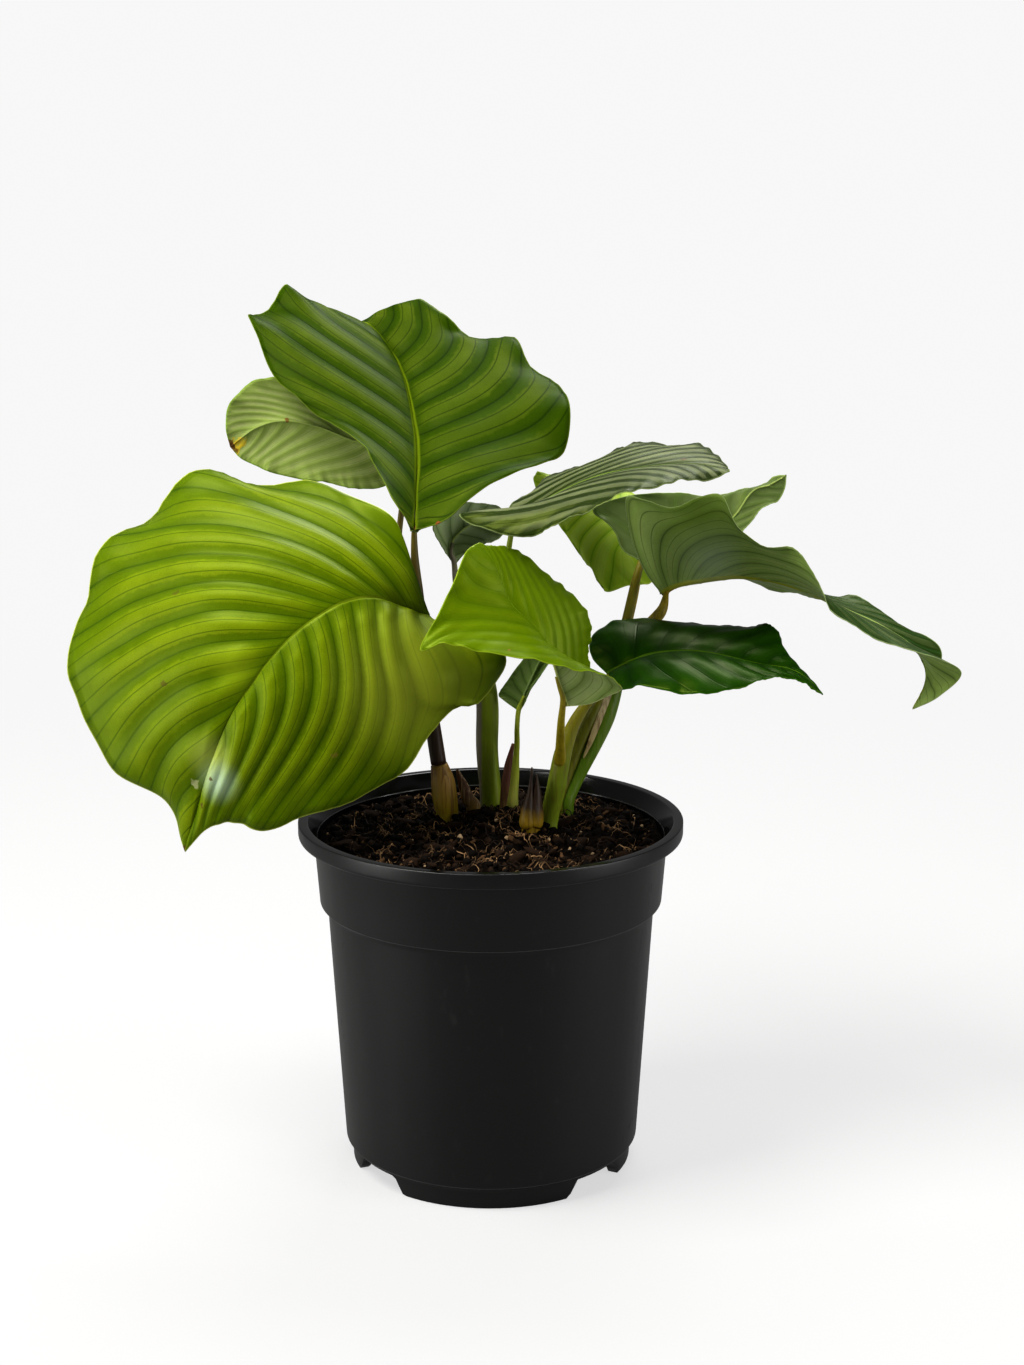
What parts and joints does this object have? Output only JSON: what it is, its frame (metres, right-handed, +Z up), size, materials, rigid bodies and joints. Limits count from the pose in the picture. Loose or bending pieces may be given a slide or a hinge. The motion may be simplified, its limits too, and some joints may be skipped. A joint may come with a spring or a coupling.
{
  "type": "potted calathea",
  "caption": "Potted calathea: broad rounded leaves with pale bands and waved edges on slender stalks, rising from soil in a round black nursery pot.",
  "frame": {"origin": "centre of the flat round pad under the pot, on the plane that the pot's feet stand on", "axes": "+Z up along the pot's axis; -Y toward the front, where the large bright leaf and the small bright leaf in front of the stalks face the viewer; +X to the viewer's right, toward the long drooping leaf"},
  "size_m": [0.4368, 0.2553, 0.4264],
  "materials": {
    "pot_plastic": "satin black moulded plastic",
    "soil": "damp crumbly peat and fibre",
    "leaf_front_large": "satin leaf, veined, with paler bands",
    "leaf_top": "satin leaf, veined, with paler bands",
    "leaf_back_left": "satin leaf, veined, with paler bands",
    "leaf_centre_small": "satin leaf, veined, with paler bands",
    "leaf_right_dark": "satin leaf, veined, with paler bands",
    "leaf_right_upper": "satin leaf, veined, with paler bands",
    "leaf_right_long": "satin leaf, veined, with paler bands",
    "leaf_right_back": "satin leaf, veined, with paler bands",
    "leaf_back_bright": "satin leaf, veined, with paler bands",
    "leaf_centre_curled": "satin leaf, veined, with paler bands",
    "leaf_low_small": "satin leaf, veined, with paler bands",
    "stalk_dark": "smooth satin stalk",
    "stalk_purple_green": "smooth satin stalk",
    "stalk_green": "smooth satin stalk",
    "bulb_pale": "dry, finely ribbed",
    "sheath_dry": "dry, finely ribbed",
    "bract_brown": "dry, finely ribbed",
    "bud_brown": "dry, finely ribbed"
  },
  "bodies": {
    "root": {"pot": "pot_plastic", "soil": "soil", "blade_front_large": "leaf_front_large", "blade_top": "leaf_top", "blade_back_left": "leaf_back_left", "blade_centre_small": "leaf_centre_small", "blade_right_dark": "leaf_right_dark", "blade_right_upper": "leaf_right_upper", "blade_right_long": "leaf_right_long", "blade_right_back": "leaf_right_back", "blade_back_bright": "leaf_back_bright", "blade_centre_curled": "leaf_centre_curled", "blade_low_small": "leaf_low_small", "stalk_left": "stalk_dark", "stalk_centre": "stalk_purple_green", "stalk_low": "stalk_green", "stalk_front": "stalk_green", "stalk_right": "stalk_green", "bulb_left": "bulb_pale", "sheath_left": "sheath_dry", "bract_centre": "bract_brown", "bud": "bud_brown"}
  },
  "joints": []
}
